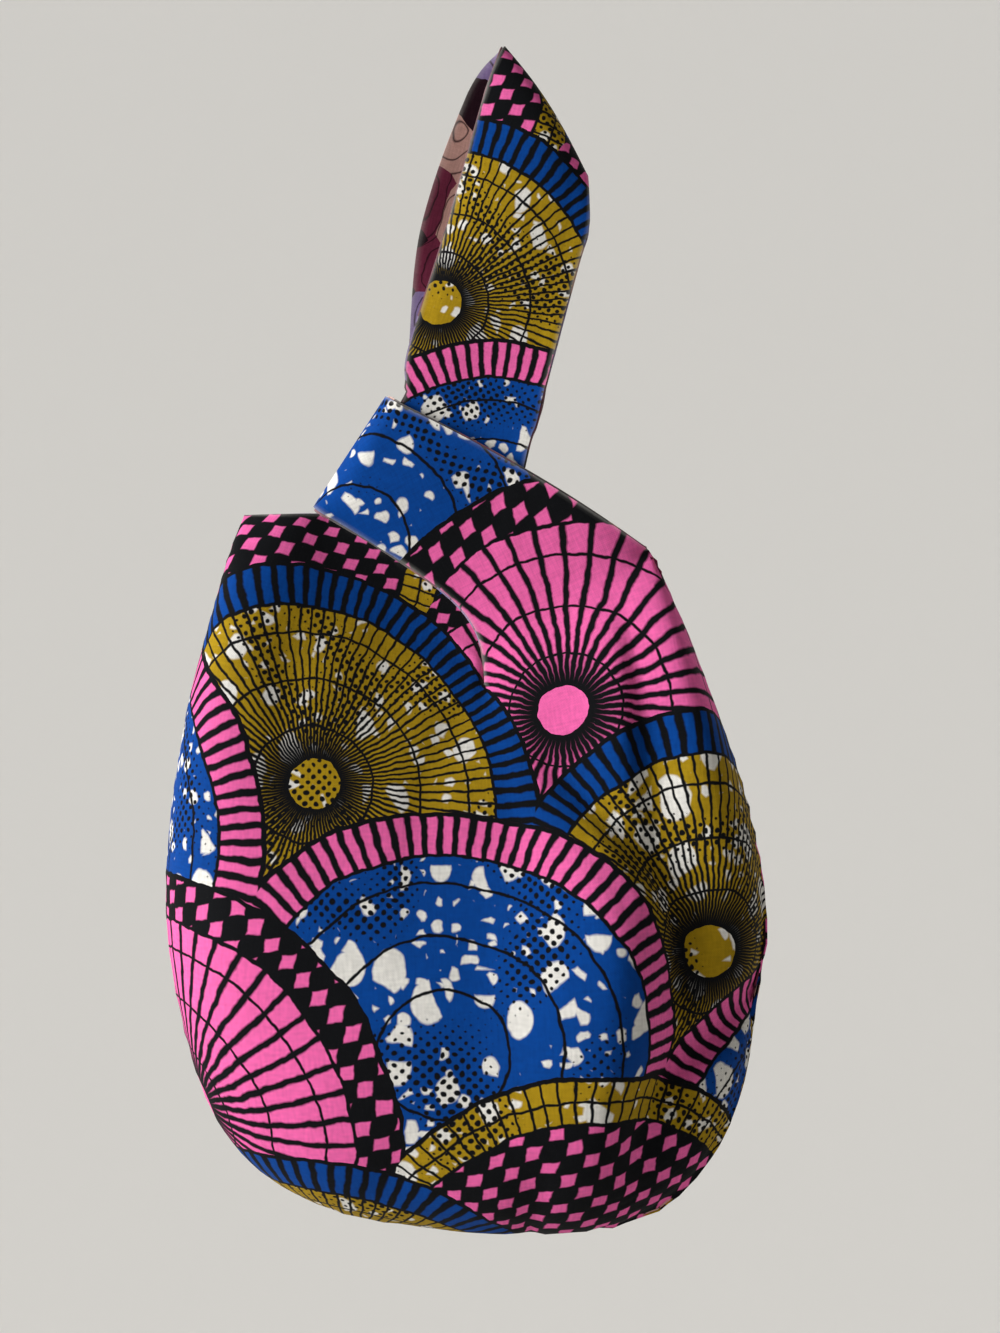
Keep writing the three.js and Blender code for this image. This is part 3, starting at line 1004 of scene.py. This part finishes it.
outerPrint = {
    "blue": dye(0, 66, 146), "pink": dye(242, 104, 172), "olive": dye(168, 136, 22),
    "ink": dye(12, 13, 16),
    "sways": ((28, 0.0022), (170, 0.0008)),  # scale and reach of a hand-cut, slightly bled edge
    "turn": 24.0,                            # degrees that the fans lean on the cloth
    "shift": (0.036, 0.014),
    "fanWidth": 0.184, "fanRow": 0.076, "fanRadius": 0.098,
    "fanKinds": 6, "rowStep": 2, "columnStep": 3, "firstFan": 1, "kindSlack": 0.1,
    "pinkKind": 1, "diamondKind": 4, "oliveKinds": (2, 5),  # the others are blue
    "rim": 0.019, "soft": 0.0004,
    "line": 0.0015, "outlineInset": 0.6, "outlineHalf": 0.7,  # the last two in line widths
    "barTurn": 0.075, "barWidth": 0.034, "barSoft": 0.004,
    "pebble": {"size": 0.0155, "least": 0.05, "most": 0.50, "roundness": 0.50},
    "droplet": {"size": 0.0068, "least": 0.12, "most": 0.9, "roundness": 0.6},
    "pebbleSquash": 0.78,
    "halftone": 0.0034, "halftoneTurn": 45, "dotShare": 0.34,
    "swellScale": 16, "swellTurns": 11, "swellStart": 1.0,
    "diamond": 0.0092, "diamondSquash": 0.72, "diamondShare": 0.36,
    "ribTurn": 0.14, "ribWidth": 0.0026, "fineLine": 0.0012, "eye": 0.011,
    "arcPitch": 0.021, "arcStart": 0.3,
}


def pebbles(tree, where, stone, soft):
    size, least = stone["size"], stone["least"]
    stones = cells(tree, where, size, "F1")
    margin = calc(tree, "MULTIPLY_ADD", split(tree, stones["Color"])[0], stone["most"] - least, least)
    toCrack = cells(tree, where, size, "DISTANCE_TO_EDGE")["Distance"]
    cracked = within(tree, margin, toCrack, soft / size)
    rounded = calc(tree, "SUBTRACT", stone["roundness"], margin)
    worn = within(tree, stones["Distance"], rounded, soft / size)
    return calc(tree, "MINIMUM", cracked, worn)


def fanAt(tree, u, v, below):
    spec = outerPrint
    width, row = spec["fanWidth"], spec["fanRow"]
    rowNumber = calc(tree, "SUBTRACT", calc(tree, "FLOOR", calc(tree, "DIVIDE", v, row)), below)
    odd = calc(tree, "FLOORED_MODULO", rowNumber, 2)
    slid = calc(tree, "MULTIPLY_ADD", odd, -width / 2, u)
    column = calc(tree, "FLOOR", calc(tree, "DIVIDE", slid, width))
    x = calc(tree, "SUBTRACT", calc(tree, "MULTIPLY_ADD", column, -width, slid), width / 2)
    y = calc(tree, "MULTIPLY_ADD", rowNumber, -row, v)
    kind = calc(tree, "MULTIPLY_ADD", column, spec["columnStep"], spec["firstFan"])
    kind = calc(tree, "MULTIPLY_ADD", rowNumber, spec["rowStep"], kind)
    return x, y, length(tree, x, y), calc(tree, "FLOORED_MODULO", kind, spec["fanKinds"])


# each row of fans lies over the row above it
def topFan(tree, u, v):
    over, own, beyond = (fanAt(tree, u, v, below) for below in (1, 0, -1))
    onOver, onOwn = (calc(tree, "LESS_THAN", fan[2], outerPrint["fanRadius"]) for fan in (over, own))
    return [choose(tree, onOver, choose(tree, onOwn, c, b), a) for a, b, c in zip(over, own, beyond)]


def isKind(tree, kind, number):
    return calc(tree, "COMPARE", kind, number, outerPrint["kindSlack"])


def halftoneDots(tree, where, hu, hv):
    spec, pitch = outerPrint, outerPrint["halftone"]
    swell = noise(tree, where, spec["swellScale"], 0)
    swell = calc(tree, "MULTIPLY_ADD", swell, spec["swellTurns"], spec["swellStart"])
    radius = calc(tree, "MULTIPLY", calc(tree, "SINE", swell), pitch * spec["dotShare"])
    du, dv = (calc(tree, "PINGPONG", k, pitch / 2) for k in (hu, hv))
    return within(tree, length(tree, du, dv), radius, spec["soft"] / 2)


def diamonds(tree, hu, hv):
    spec, pitch = outerPrint, outerPrint["diamond"]
    squashed = calc(tree, "MULTIPLY", hv, spec["diamondSquash"])
    du, dv = (calc(tree, "PINGPONG", k, pitch / 2) for k in (hu, squashed))
    return within(tree, calc(tree, "ADD", du, dv), pitch * spec["diamondShare"], spec["soft"])


def makeOuterPrint():
    spec, soft, ink = outerPrint, outerPrint["soft"], outerPrint["ink"]
    material, tree, shader, where = startCotton("outer_print_cotton")
    drawn = sway(tree, where, spec["sways"])
    laid = place(tree, drawn, spec["shift"], spec["turn"])
    x, y, away, kind = topFan(tree, *split(tree, laid))
    angle = calc(tree, "ARCTAN2", x, y)
    isPink = isKind(tree, kind, spec["pinkKind"])
    isDiamond = isKind(tree, kind, spec["diamondKind"])
    isOlive = calc(tree, "ADD", *(isKind(tree, kind, number) for number in spec["oliveKinds"]))

    # what is drawn inside the fans
    squashed = place(tree, drawn, scale=(1, spec["pebbleSquash"]))
    spots = pebbles(tree, squashed, spec["pebble"], soft)
    bare = calc(tree, "MAXIMUM", spots, pebbles(tree, drawn, spec["droplet"], soft))
    hu, hv = split(tree, place(tree, drawn, turn=spec["halftoneTurn"]))
    halftone = halftoneDots(tree, where, hu, hv)
    ribs = spokes(tree, angle, away, spec["ribTurn"], spec["ribWidth"], soft)
    fineRibs = spokes(tree, angle, away, spec["ribTurn"] / 2, spec["fineLine"], soft / 2)
    outward = calc(tree, "ADD", away, spec["arcPitch"] * spec["arcStart"])
    arcs = stripe(tree, outward, spec["arcPitch"], spec["fineLine"], soft / 2)
    beyondEye = calc(tree, "GREATER_THAN", away, spec["eye"])
    rings = calc(tree, "MULTIPLY", arcs, beyondEye)
    web = calc(tree, "MULTIPLY", calc(tree, "MAXIMUM", fineRibs, arcs), beyondEye)
    shell = calc(tree, "MULTIPLY", calc(tree, "MAXIMUM", ribs, arcs), beyondEye)

    blue = tint(tree, bare, spec["blue"], cotton["bare"])
    blue = tint(tree, calc(tree, "MAXIMUM", halftone, rings), blue, ink)
    olive = tint(tree, bare, spec["olive"], cotton["bare"])
    olive = tint(tree, calc(tree, "MAXIMUM", halftone, web), olive, ink)
    pink = tint(tree, shell, spec["pink"], ink)
    diamond = tint(tree, diamonds(tree, hu, hv), ink, spec["pink"])
    field = tint(tree, isOlive, blue, olive)
    field = tint(tree, isPink, field, pink)
    field = tint(tree, isDiamond, field, diamond)

    bars = stripe(tree, angle, spec["barTurn"], spec["barWidth"], spec["barSoft"])
    rim = tint(tree, bars, spec["pink"], ink)
    rim = tint(tree, isPink, rim, diamond)
    rim = tint(tree, isDiamond, rim, olive)
    rim = tint(tree, isOlive, rim, tint(tree, bars, spec["blue"], ink))
    edge, line = spec["fanRadius"], spec["line"]
    inside = edge - spec["rim"]
    colour = tint(tree, within(tree, away, inside, soft), rim, field)
    outline = (edge - line * spec["outlineInset"], line * spec["outlineHalf"])
    for radius, half in ((inside, line / 2), outline):
        gap = calc(tree, "ABSOLUTE", calc(tree, "SUBTRACT", away, radius))
        colour = tint(tree, within(tree, gap, half, soft / 2), colour, ink)
    addWeave(tree, shader, where, colour)
    return material


liningPrint = {
    "peach": dye(206, 160, 148), "lilac": dye(140, 120, 166), "wine": dye(120, 46, 70),
    "dark": dye(40, 18, 28),
    "from": {"lilac": 0.3, "wine": 0.52, "dark": 0.8},  # the chance from which a patch takes a dye
    "sways": ((22, 0.009), (90, 0.0015)),
    "patch": 0.021, "squash": 0.7,
    "veinPitch": 0.3, "veinWidth": 0.03, "veinSoft": 0.015,  # in patches
}


def makeLiningPrint():
    spec = liningPrint
    material, tree, shader, where = startCotton("lining_print_cotton")
    drawn = sway(tree, where, spec["sways"])
    patches = cells(tree, place(tree, drawn, scale=(1, spec["squash"])), spec["patch"], "F1")
    chance = split(tree, patches["Color"])[0]
    colour = spec["peach"]
    for name, least in spec["from"].items():
        colour = tint(tree, calc(tree, "GREATER_THAN", chance, least), colour, spec[name])
    veins = stripe(tree, patches["Distance"], spec["veinPitch"], spec["veinWidth"], spec["veinSoft"])
    addWeave(tree, shader, where, tint(tree, veins, colour, spec["dark"]))
    return material


clothMaterials = {"outer": makeOuterPrint(), "lining": makeLiningPrint()}
print("cotton prints mixed")


rootOut = np.array([neckRight[1] - rightShoulder[1], rightShoulder[0] - neckRight[0]])
rootOut = rootOut / np.linalg.norm(rootOut)
layers = {
    "outer": {"start": 0, "thickness": cloth["outer"], "peek": 0},
    "lining": {"start": cloth["outer"] + cloth["gap"], "thickness": cloth["lining"],
               "peek": cloth["peek"]},
}
for side, panel in panels.items():
    markEdges(panel, side)
    word = sideNames[side]
    for kind, layer in layers.items():
        body = makeLayer(panel, f"{word}_{kind}", side, **layer)
        loop = takeRing(body, f"knot_loop_{word}_{kind}")
        for piece in (body, loop):
            finishCloth(piece, clothMaterials[kind])
        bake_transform(body)
        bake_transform(loop)
        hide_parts(f"body_{word}_{kind}", f"long_loop_bend_{word}_{kind}", f"long_loop_{word}_{kind}")
        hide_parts(f"short_loop_{word}_{kind}")
    print(word, "cloth layers made")
for panel in panels.values():
    bpy.data.objects.remove(panel)
